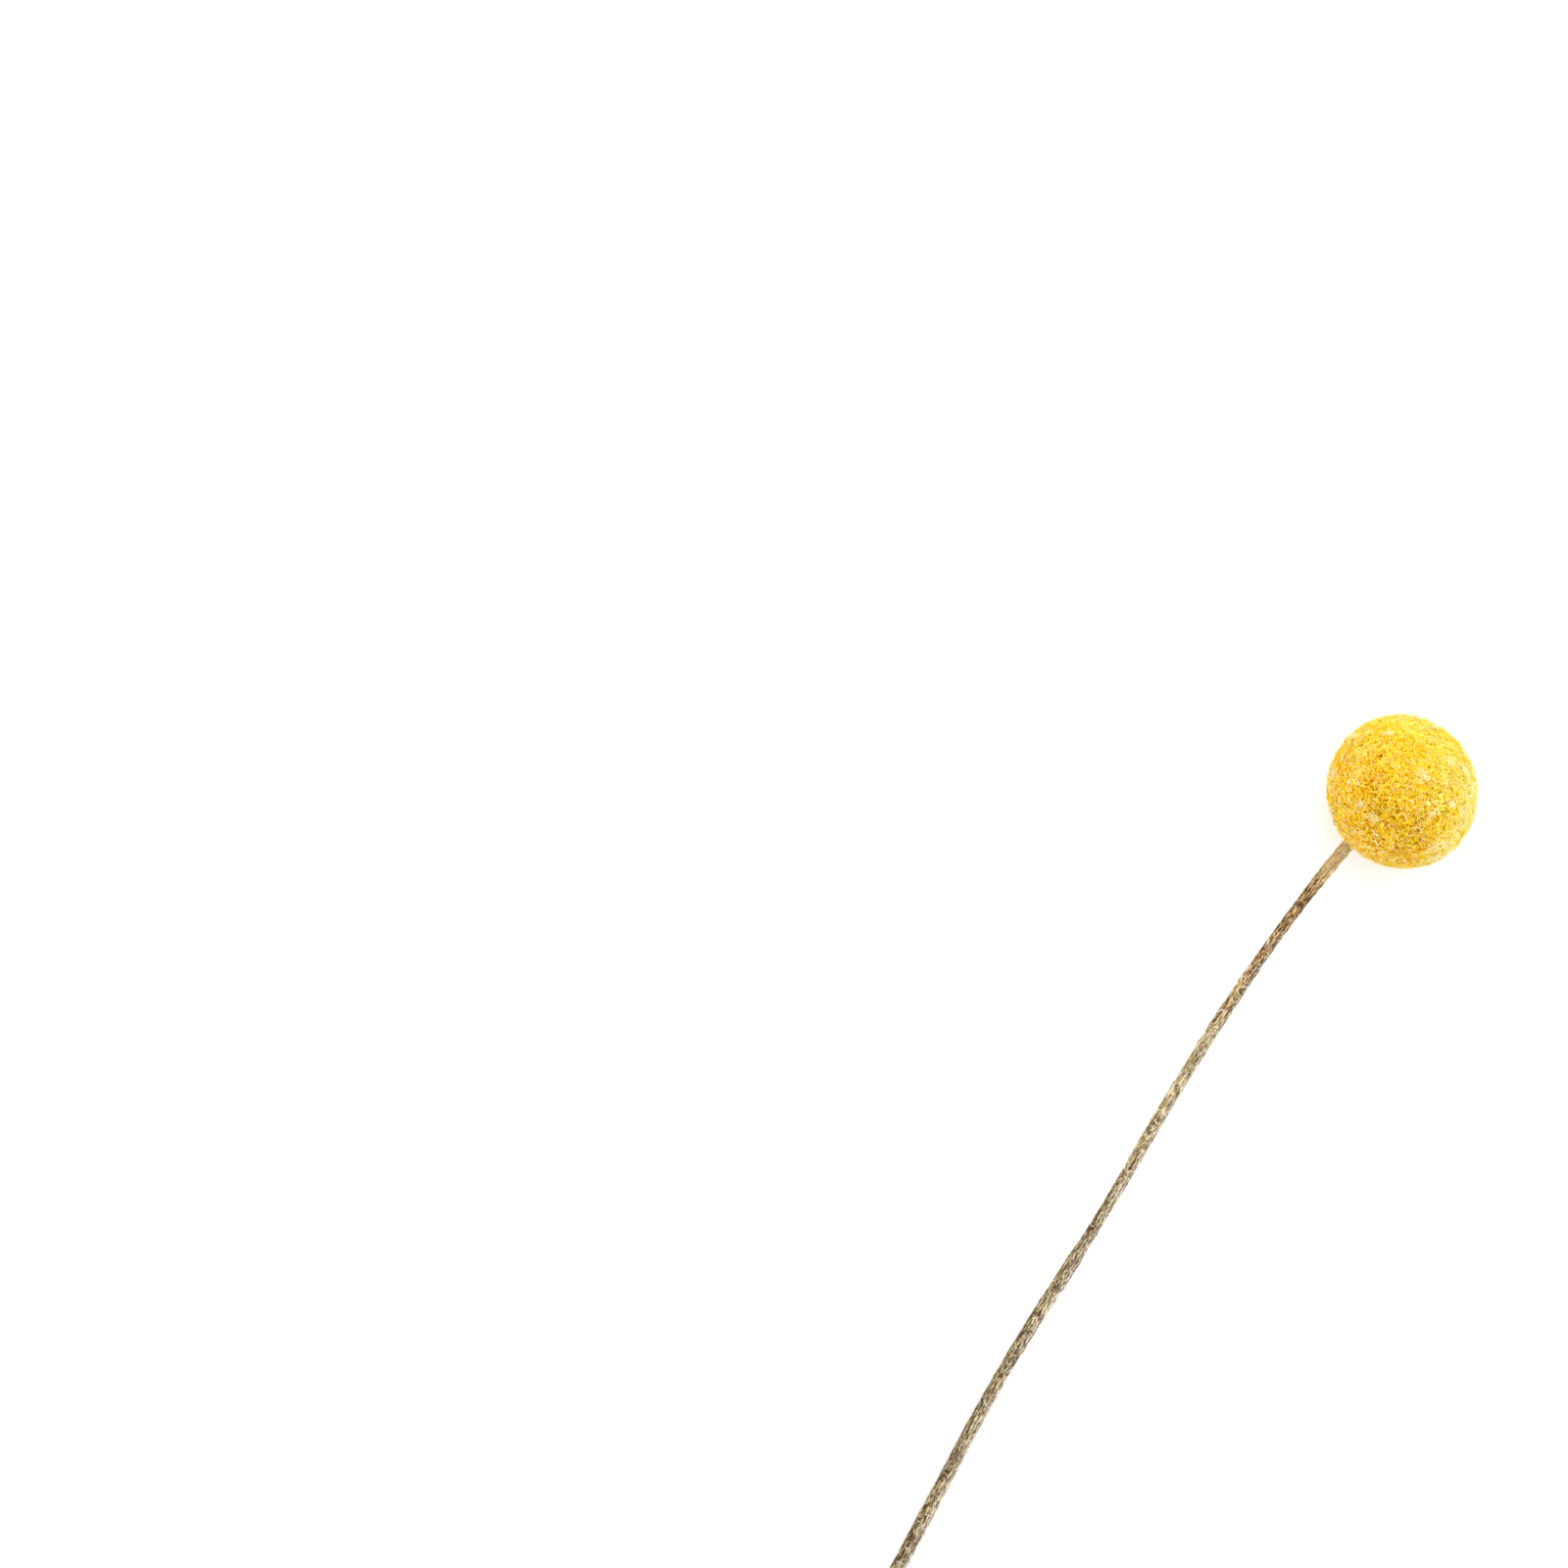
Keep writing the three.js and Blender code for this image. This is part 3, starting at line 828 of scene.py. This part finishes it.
def patch_changes(direction):
    """Tone and warmth changes at a direction: each patch fades as e^(-(turn / half width)²), plus slow
    waves."""
    tone = 0.03 * waves(direction, 0.55, 31) + 0.065 * waves(direction, 0.24, 32)
    tone = tone + 0.05 * waves(direction, 0.1, 39)
    warmth = 0.06 * waves(direction, 0.6, 33) + 0.07 * waves(direction, 0.27, 34) - 0.12
    for right, up, width, tone_change, warmth_change in PATCHES:
        fade = np.exp(-((turn_between(direction, seen_from_above(right, up)) / width) ** 2))
        tone = tone + tone_change * fade
        warmth = warmth + warmth_change * fade
    return tone, warmth


def shaded_side(direction):
    """0 on the side towards the lamp and 1 on the side away from it, where painted shade makes florets darker
    and more uneven: half of 1 - cos(turn).
    """
    return 0.5 - 0.5 * direction @ PAINTED_LIGHT_WAY


def painted_light_share(direction):
    """How much painted light the side towards the lamp gets: (1 - shaded)³."""
    return (1 - shaded_side(direction)) ** 3


def calmed(tone, direction, share):
    """Tones drawn together on the side towards the lamp, as painted light evens them: by share × the painted
    light share of the way to a middling tone."""
    return tone + share * painted_light_share(direction) * (MIDDLING_TONE - tone)


def painted_table_light(direction):
    """How much painted light from the pale table falls on the sides of the head: (1 - |height|)²."""
    return (1 - np.abs(direction @ UP)) ** 2


def darkest(direction):
    """The lowest tone at a direction: painted light through the thin florets lifts even the gaps on the side
    towards the lamp, and painted light from the table lifts them a little on the sides of the head."""
    return 0.1 + 0.34 * painted_light_share(direction) + 0.3 * painted_table_light(direction)


# %% [markdown]
# ## The bed under the florets
# Between the florets one looks down into the head. A closed, bumpy ball a little smaller than the head fills
# it, so that no gap shows through to the other side. Its dark ochre is painted shade, the colour of the
# shadow between florets.

# %% The bed's shape
BED_RINGS = 100
BED_SIDES = 160
BED_DEPTH = 1.1
BED_BUMPS = 0.14

polar = np.linspace(0, math.pi, BED_RINGS + 1)[1:-1, None]
turn = (np.arange(BED_SIDES) * math.tau / BED_SIDES)[None]
bed_parts = np.broadcast_arrays(np.sin(polar) * np.cos(turn), np.sin(polar) * np.sin(turn), np.cos(polar))
bed_direction = np.vstack([np.stack(bed_parts, axis=-1).reshape(-1, 3), UP, -UP])
bed_bumps = BED_BUMPS * waves(bed_direction * HEAD_RADIUS, 1.0, 35)
bed_height = head_radius(bed_direction) - BED_DEPTH + bed_bumps
bed_points = above_table(HEAD_CENTRE + bed_direction * bed_height[:, None], 0.4) + 0.02 * UP
bed_numbers = np.arange((BED_RINGS - 1) * BED_SIDES).reshape(BED_RINGS - 1, BED_SIDES)
bed_faces = [
    grid_faces(bed_numbers)[:, ::-1],
    fan_faces(bed_numbers[0], bed_numbers.size),
    fan_faces(bed_numbers[-1], bed_numbers.size + 1)[:, ::-1],
]

# %% The bed's colour
FLORET_OLIVE = (
    (0.0, 40, 24, 6), (0.06, 134, 98, 0), (0.3, 220, 172, 4),
    (0.55, 253, 220, 16), (0.78, 255, 238, 90), (1.0, 255, 246, 196),
)
FLORET_ORANGE = (
    (0.0, 44, 22, 4), (0.06, 158, 92, 0), (0.3, 240, 154, 0),
    (0.55, 255, 197, 4), (0.78, 255, 214, 56), (1.0, 255, 232, 156),
)
TRANSLUCENT = {
    "Specular_IOR_Level": 0.12,
    "Sheen_Weight": 0.06,
    "Sheen_Roughness": 0.4,
    "Subsurface_Weight": 0.3,
    "Subsurface_Radius": (1.0, 0.7, 0.15),
    "Subsurface_Scale": 0.5 * MM,
}

tone_change, warmth_change = patch_changes(bed_direction)
bed_tone = 0.26 + 0.5 * tone_change + 0.05 * waves(bed_direction * HEAD_RADIUS, 0.9, 36)
bed_tone = bed_tone + np.random.default_rng(40).normal(0, 0.09, len(bed_tone))
bed_tone = np.clip(np.maximum(bed_tone, darkest(bed_direction)), 0, 1)
bed_warmth = 0.5 + warmth_change + 0.08 * waves(bed_direction * HEAD_RADIUS, 2.0, 37)
floret_finish = chart_finish("florets", FLORET_OLIVE, FLORET_ORANGE, **TRANSLUCENT)
chart_piece("floret_bed", bed_points, bed_faces, floret_finish, HEAD_PART, bed_tone, bed_warmth)

# %% [markdown]
# ## One floret
# A floret is a small tube that opens in five pointed lobes. Dried, some are open stars and some have curled
# shut into little granules. Its outline is the same for all: rings from the hidden foot up the tube, over the
# lobes, and down into the throat, with the tip of the stamens in the middle. Ten corners round are just
# enough for five lobes and the gaps between them, and keep two thousand florets light.

# %% One floret's rings
LOBES = 5
FLORET_CORNERS = 2 * LOBES
# Radius and height of each ring, first on a shut floret and then on an open one, each at a lobe and at a gap
SHUT = np.array([
    [[0.26, -1.10], [0.26, -1.10]],
    [[0.42, -0.40], [0.40, -0.40]],
    [[0.40, 0.10], [0.44, -0.06]],
    [[0.20, 0.20], [0.26, 0.06]],
    [[0.08, 0.14], [0.10, 0.08]],
])
OPEN = np.array([
    [[0.26, -1.10], [0.26, -1.10]],
    [[0.40, -0.40], [0.36, -0.40]],
    [[0.74, -0.02], [0.44, -0.16]],
    [[0.50, 0.06], [0.34, -0.14]],
    [[0.20, -0.36], [0.20, -0.36]],
])
# Tone of each ring at a lobe and at a gap. The tube's sides, low between the florets, and the throat are
# darker, partly their own colour and partly painted shade.
RING_TONES = np.array([[0.10, 0.10], [0.24, 0.18], [0.84, 0.48], [0.78, 0.52], [0.36, 0.32]])
FLORET_RINGS = len(SHUT)
FOOT_HEIGHT = -1.15
print("one floret has", FLORET_RINGS, "rings of", FLORET_CORNERS, "corners")

# %% Where the florets grow
FLORETS = 1900
FLORET_SEED = 41
CLUSTERS = 300
SPECK_PLACE = (-0.333, 0.455)


def crowded(draw, count, rounds=10):
    """Spiral directions, scattered and then pushed apart. In a round each site moves by half the sum, over
    all the others, of e^(-(gap / 0.8 spacing)²) × (site - other), so they end evenly packed but in no
    rows."""
    spacing = math.sqrt(4 * math.pi / count)
    sites = unit(spiral(count) + draw.normal(0, 0.5 * spacing, (count, 3))).astype(np.float32)
    for _ in range(rounds):
        push = np.exp((sites @ sites.T - 1) * (2 / (0.8 * spacing) ** 2))
        sites = unit(sites + 0.5 * (sites * push.sum(axis=1, keepdims=True) - push @ sites))
    return sites.astype(float)


def floret_sites(draw):
    """Crowded sites clear of the stalk, the middle of the small cluster that each belongs to, and the share
    of the way from that middle to the cluster's edge."""
    sites = crowded(draw, FLORETS)
    clusters = crowded(draw, CLUSTERS)
    middle = clusters[np.argmax(sites @ clusters.T, axis=1)]
    edge = np.linalg.norm(sites - middle, axis=1) / math.sqrt(4 / CLUSTERS)
    clear = turn_between(sites, NECK) > 1.6 / HEAD_RADIUS
    return sites[clear], middle[clear], edge[clear]


def floret_axes(draw, sites, middle):
    """Each floret's own three directions: outwards, tilted away from its cluster's middle and at random, and
    two across it, turned at random."""
    outward = unit(sites + 1.2 * (sites - middle) + draw.normal(0, 0.13, sites.shape))
    across = unit(np.cross(outward, draw.normal(size=sites.shape)))
    return across, np.cross(outward, across), outward


draw = np.random.default_rng(FLORET_SEED)
sites, cluster_middle, cluster_edge = floret_sites(draw)
across, beside, outward = floret_axes(draw, sites, cluster_middle)
count = len(sites)
# One small floret has gone nearly black, and stands a little proud.
speck = np.argmax(sites @ seen_from_above(*SPECK_PLACE))
print(count, "florets in", CLUSTERS, "clusters")

# %% The florets' shapes
openness = draw.normal(0.4, 0.36, (count, 1, 1, 1)) + draw.normal(0, 0.12, (count, 1, FLORET_CORNERS, 1))
openness = np.clip(openness, 0, 1.1)
shut, opened = (np.tile(rings, (1, LOBES, 1)) for rings in (SHUT, OPEN))
shape = shut * (1 - openness) + opened * openness
lobe_rise = draw.normal(0, 0.09, (count, FLORET_CORNERS))
gap_rise = draw.normal(0, 0.03, (count, FLORET_CORNERS))
shape[:, 2:4, :, 1] += np.where(np.arange(FLORET_CORNERS) % 2 == 0, lobe_rise, gap_rise)[:, None]
shape[:, 2:4, :, 0] *= 1 + draw.normal(0, 0.12, (count, 1, FLORET_CORNERS))
size = draw.uniform(0.9, 1.44, (count, 1, 1))
size[speck] = 0.5
corner_turn = np.arange(FLORET_CORNERS) * math.tau / FLORET_CORNERS
turn = corner_turn + draw.normal(0, 0.1, (count, FLORET_RINGS, 1)).cumsum(axis=1)
flatness = draw.uniform(0.78, 1.0, (count, 1, 1))
local_x = shape[..., 0] * np.cos(turn) * size
local_y = shape[..., 0] * np.sin(turn) * size * flatness
local_z = shape[..., 1] * size

# %% Placing the florets
sunk = 0.5 + 0.3 * cluster_edge**2 + np.abs(draw.normal(0, 0.19, count))
sunk[speck] = 0.0
near_neck = np.exp(-((turn_between(sites, NECK) * HEAD_RADIUS / 2.6) ** 2))
floret_base = HEAD_CENTRE + sites * (head_radius(sites) - sunk - 0.5 * near_neck)[:, None]


def on_head(x, y, z):
    """Local places of all florets, carried to the head: base + x × across + y × beside + z × outward."""
    parts = [part.reshape(count, -1, 1) for part in (x, y, z)]
    axes = [axis[:, None] for axis in (across, beside, outward)]
    return floret_base[:, None] + sum(part * axis for part, axis in zip(parts, axes))


throat = 0.12 - 0.3 * openness[:, 0, :1, 0] + draw.normal(0, 0.04, (count, 1))
nothing = np.zeros((count, 1))
floret_points = np.concatenate([
    on_head(local_x, local_y, local_z),
    on_head(nothing, nothing, nothing + FOOT_HEIGHT),
    on_head(nothing, nothing, throat * size[:, 0]),
], axis=1)
first_number = (np.arange(count) * floret_points.shape[1])[:, None, None]
floret_points = above_table(floret_points.reshape(-1, 3))

ring_numbers = np.arange(FLORET_RINGS * FLORET_CORNERS).reshape(FLORET_RINGS, FLORET_CORNERS)
one_foot = fan_faces(ring_numbers[0], ring_numbers.size)[:, ::-1]
one_throat = fan_faces(ring_numbers[-1], ring_numbers.size + 1)
floret_faces = [
    (grid_faces(ring_numbers) + first_number).reshape(-1, 4),
    (np.vstack([one_foot, one_throat]) + first_number).reshape(-1, 3),
]

# %% The florets' tones
tone_change, warmth_change = patch_changes(sites)
tone_change = tone_change + (0.03 + 0.09 * shaded_side(sites)) * waves(sites, 0.1, 41)
ring_tone = np.tile(RING_TONES, (1, LOBES))
in_light = ring_tone > 0.3
own_tone = draw.normal(0, 1, count) * (0.05 + 0.16 * shaded_side(sites)) + 1.1 * tone_change - 0.02
own_warmth = 0.5 + draw.normal(0, 0.13, count) + warmth_change
withered = np.arange(count) == speck
own_tone = np.where(withered, -1.5, own_tone)
lobe_tone = draw.normal(0, 0.05, (count, 1, FLORET_CORNERS))
floret_tone = ring_tone + lobe_tone * in_light + own_tone[:, None, None] * (0.35 + 0.65 * in_light)
floret_tone = np.hstack([floret_tone.reshape(count, -1), nothing, (0.42 + 0.6 * own_tone)[:, None]])
floret_tone = calmed(floret_tone, sites[:, None], np.where(withered, 0, 0.35)[:, None])
floret_tone = np.maximum(floret_tone, np.where(withered, 0, darkest(sites))[:, None])
round_step = np.tile(0.02 * np.cos(corner_turn), FLORET_RINGS)
floret_warmth = own_warmth[:, None] + np.append(round_step, [0.0, 0.22])
floret_tone, floret_warmth = (np.clip(values, 0, 1).ravel() for values in (floret_tone, floret_warmth))
chart_piece("florets", floret_points, floret_faces, floret_finish, HEAD_PART, floret_tone, floret_warmth)

# %% [markdown]
# ## Curls and down on the head
# Two kinds of hair soften the head. The curls are the florets' own style arms, which stand out of the throats
# and have curled as they dried. They have the florets' colours. The down is thinner and silky, and most of it
# grows on the paler side. In the middle of the head both only soften the florets. At the edge, where one
# looks along the surface, they add up to a fuzzy rim. Each hair starts under the surface, leaves it outwards,
# bends over, and wanders.

# %% Hairs on the head
def head_walk(draw, sites, depth, length, rise, curl, rings, bending):
    """Lines of hairs on the head. A step's heading blends outward × rise × (1 - t)^bending with a direction
    over the surface that turns to one side by curl × (t + 0.2 × sin(2π × beats × t + phase)), and steps add
    up from a place under the surface."""
    count = len(sites)
    t = np.linspace(0, 1, rings)
    across = unit(np.cross(sites, draw.normal(size=sites.shape)))[:, None]
    beside = np.cross(sites[:, None], across)
    beats = draw.uniform(0.25, 0.7, (count, 1))
    phase = draw.uniform(0, math.tau, (count, 1))
    one_side = draw.choice([-1.0, 1.0], (count, 1)) * curl[:, None]
    turn = (one_side * (t + 0.2 * np.sin(math.tau * beats * t + phase)))[..., None]
    lift = (rise[:, None] * (1 - t) ** bending)[..., None]
    heading = unit(lift * sites[:, None] + np.cos(turn) * across + np.sin(turn) * beside)
    start = HEAD_CENTRE + sites * (head_radius(sites) - depth)[:, None]
    step = (length / (rings - 1))[:, None, None]
    return start[:, None] + np.cumsum(heading * step, axis=1) - heading[:, :1] * step, t


def head_hairs(name, finish, sites, seed, depths, lengths, radius, rises, curls, tones, rings=5, taper=0.6,
               paler_tip=0.12, yellower_and_shaded=0.0, bending=2.0, uneven=0.0, calm=0.0, floor=0.0):
    """Hairs at the given directions, with tones that follow the head's patches. On the side away from the
    lamp they are more yellow and darker with painted shade, and more uneven, and on the side towards it
    painted light calms them. No tone is below the floor, which painted light from the table raises on the
    sides of the head.
    Tips are paler by a share × t²."""
    draw = np.random.default_rng(seed)
    count = len(sites)
    length, depth, rise, curl = (draw.uniform(*span, count) for span in (lengths, depths, rises, curls))
    paths, t = head_walk(draw, sites, depth, length, rise, curl, rings, bending)
    thin = radius * draw.uniform(0.7, 1.3, (count, 1)) * (1 - taper * t)
    tone_change, warmth_change = patch_changes(sites)
    tone = draw.uniform(*tones, count) + 0.5 * tone_change
    tone = tone + (uneven * draw.normal(0, 1, count) - yellower_and_shaded) * shaded_side(sites)
    tone = np.maximum(calmed(tone, sites, calm), floor + 0.5 * painted_table_light(sites))
    tone = tone[:, None] + paler_tip * t**2
    warmth = (0.5 + draw.normal(0, 0.14, count) + 0.7 * warmth_change)[:, None] + 0.03 * t
    outward = np.repeat(sites[:, None], rings, axis=1)
    hair_piece(name, paths, outward, thin, tone, warmth, finish, HEAD_PART)


def scattered(draw, count, clumping=0.0):
    """Random directions all over the head, clear of the stalk. With clumping, slow waves decide how many are
    kept, and more are kept on the downy side."""
    sites = unit(draw.normal(size=(4 * count, 3)))
    clear = turn_between(sites, NECK) > 1.5 / HEAD_RADIUS
    kept = draw.uniform(-1, 1, len(sites)) < clumping * (waves(sites, 0.22, 38) + sites @ DOWNY_WAY)
    return sites[clear & (kept | (clumping == 0))][:count]


# %% Curls
CURLS = 5200
CURLS_PER_FLORET = 4  # at first, and then only the number above are kept

curl_draw = np.random.default_rng(55)
curl_sites = np.repeat(np.delete(sites, speck, axis=0), CURLS_PER_FLORET, axis=0)
curl_sites = curl_draw.permutation(curl_sites)[:CURLS]
curl_sites = unit(curl_sites + curl_draw.normal(0, 0.02, curl_sites.shape))
head_hairs("curls", floret_finish, curl_sites, seed=56, depths=(0.26, 0.68), lengths=(1.0, 1.8), radius=0.106,
           rises=(0.3, 1.3), curls=(1.4, 4.2), tones=(0.4, 0.84), rings=7, taper=0.4, uneven=0.28, calm=0.4,
           floor=0.12)

# %% Down
DOWN_HAIRS = 7000
DOWN_COOL = ((0.0, 224, 178, 6), (0.45, 255, 228, 60), (1.0, 255, 246, 212))
DOWN_WARM = ((0.0, 240, 160, 0), (0.45, 255, 200, 20), (1.0, 255, 228, 140))

down_finish = chart_finish("down", DOWN_COOL, DOWN_WARM, **TRANSLUCENT)
down_sites = scattered(np.random.default_rng(51), DOWN_HAIRS, clumping=0.9)
head_hairs("head_down", down_finish, down_sites, seed=52, depths=(0.32, 0.66), lengths=(0.6, 1.2),
           radius=0.034, rises=(1.5, 5.0), curls=(0.4, 2.4), tones=(0.2, 0.65), rings=4, taper=0.4,
           paler_tip=0.8, yellower_and_shaded=0.35, bending=0.8)

# %% [markdown]
# ## Tufts
# Here and there a tuft of thicker, cream hairs stands out between the florets: the tops of the papery scales
# and bristles round single florets. There are only a few dozen, and they catch the eye because they are so
# pale. Those on top are listed, and those low on the head and under it are placed at random.

# %% Tufts
TUFTS_ABOVE = [
    (-0.19, 0.76), (0.22, 0.24), (0.63, 0.42), (0.81, 0.31), (-0.56, -0.17),
    (-0.40, -0.34), (0.37, -0.29), (0.64, -0.16), (0.42, 0.86), (0.28, 0.19),
]
HAIRS_PER_TUFT = 34
LOW_ON_HEAD = 0.35
TUFT_COOL = ((0.0, 254, 232, 110), (1.0, 255, 251, 200))
TUFT_WARM = ((0.0, 254, 220, 110), (1.0, 255, 243, 186))

tuft_draw = np.random.default_rng(61)
low_middles = scattered(tuft_draw, 50)
low_middles = low_middles[low_middles @ UP < LOW_ON_HEAD]
tuft_middles = np.vstack([[seen_from_above(*place) for place in TUFTS_ABOVE], low_middles])
tuft_spread = tuft_draw.normal(0, 0.022, (len(tuft_middles), HAIRS_PER_TUFT, 3))
tuft_slant = unit(tuft_draw.normal(size=(len(tuft_middles), 1, 3)))
tuft_spread = tuft_spread + tuft_slant * tuft_draw.normal(0, 0.035, (len(tuft_middles), HAIRS_PER_TUFT, 1))
tuft_sites = unit(tuft_middles[:, None] + tuft_spread).reshape(-1, 3)
tuft_finish = chart_finish("tufts", TUFT_COOL, TUFT_WARM, Sheen_Weight=0.3)
head_hairs("tufts", tuft_finish, tuft_sites, seed=62, depths=(-0.06, 0.16), lengths=(0.5, 1.2), radius=0.05,
           rises=(0.1, 1.0), curls=(0.6, 3.0), tones=(0.35, 1.0))

# %% [markdown]
# ## Table and light
# The stem lies on a white table in soft studio light. Most light comes evenly from all round, which fills the
# gaps between the florets, and a large lamp from the upper right gives the ball its roundness and a faint
# shadow.

# %% Table
TABLE_SIZE = 6000

half = TABLE_SIZE / 2 * MM
table_corners = [(-half, -half, 0), (half, -half, 0), (half, half, 0), (-half, half, 0)]
table_mesh = bpy.data.meshes.new("table")
table_mesh.from_pydata(table_corners, [], [(0, 1, 2, 3)])
table_mesh.materials.append(Finish("table", 0.9, Base_Color=(0.93, 0.93, 0.93, 1)).material)
table = add_object("table", table_mesh)

# %% Light
KEY_DISTANCE = 900
KEY_WIDTH = 700
KEY_POWER = 3.4
ROOM_LIGHT = 1.4

world = bpy.data.worlds.new("studio")
bpy.context.scene.world = world
world.use_nodes = True
world.node_tree.nodes["Background"].inputs["Color"].default_value = (1, 1, 1, 1)
world.node_tree.nodes["Background"].inputs["Strength"].default_value = ROOM_LIGHT

key_way = unit(0.55 * VIEW_RIGHT + 0.75 * VIEW_UPWARD + 1.25 * UP)
key = add_object("key", bpy.data.lights.new("key", "AREA"))
key.data.size = KEY_WIDTH * MM
key.data.energy = KEY_POWER
key.location = (HEAD_CENTRE + KEY_DISTANCE * key_way) * MM
key.rotation_euler = (0, math.acos(key_way[2]), math.atan2(key_way[1], key_way[0]))
key.visible_camera = False

bpy.context.scene.view_settings.view_transform = "Standard"
bpy.context.scene.view_settings.look = "None"
bpy.context.scene.view_settings.exposure = 0
print("studio ready")
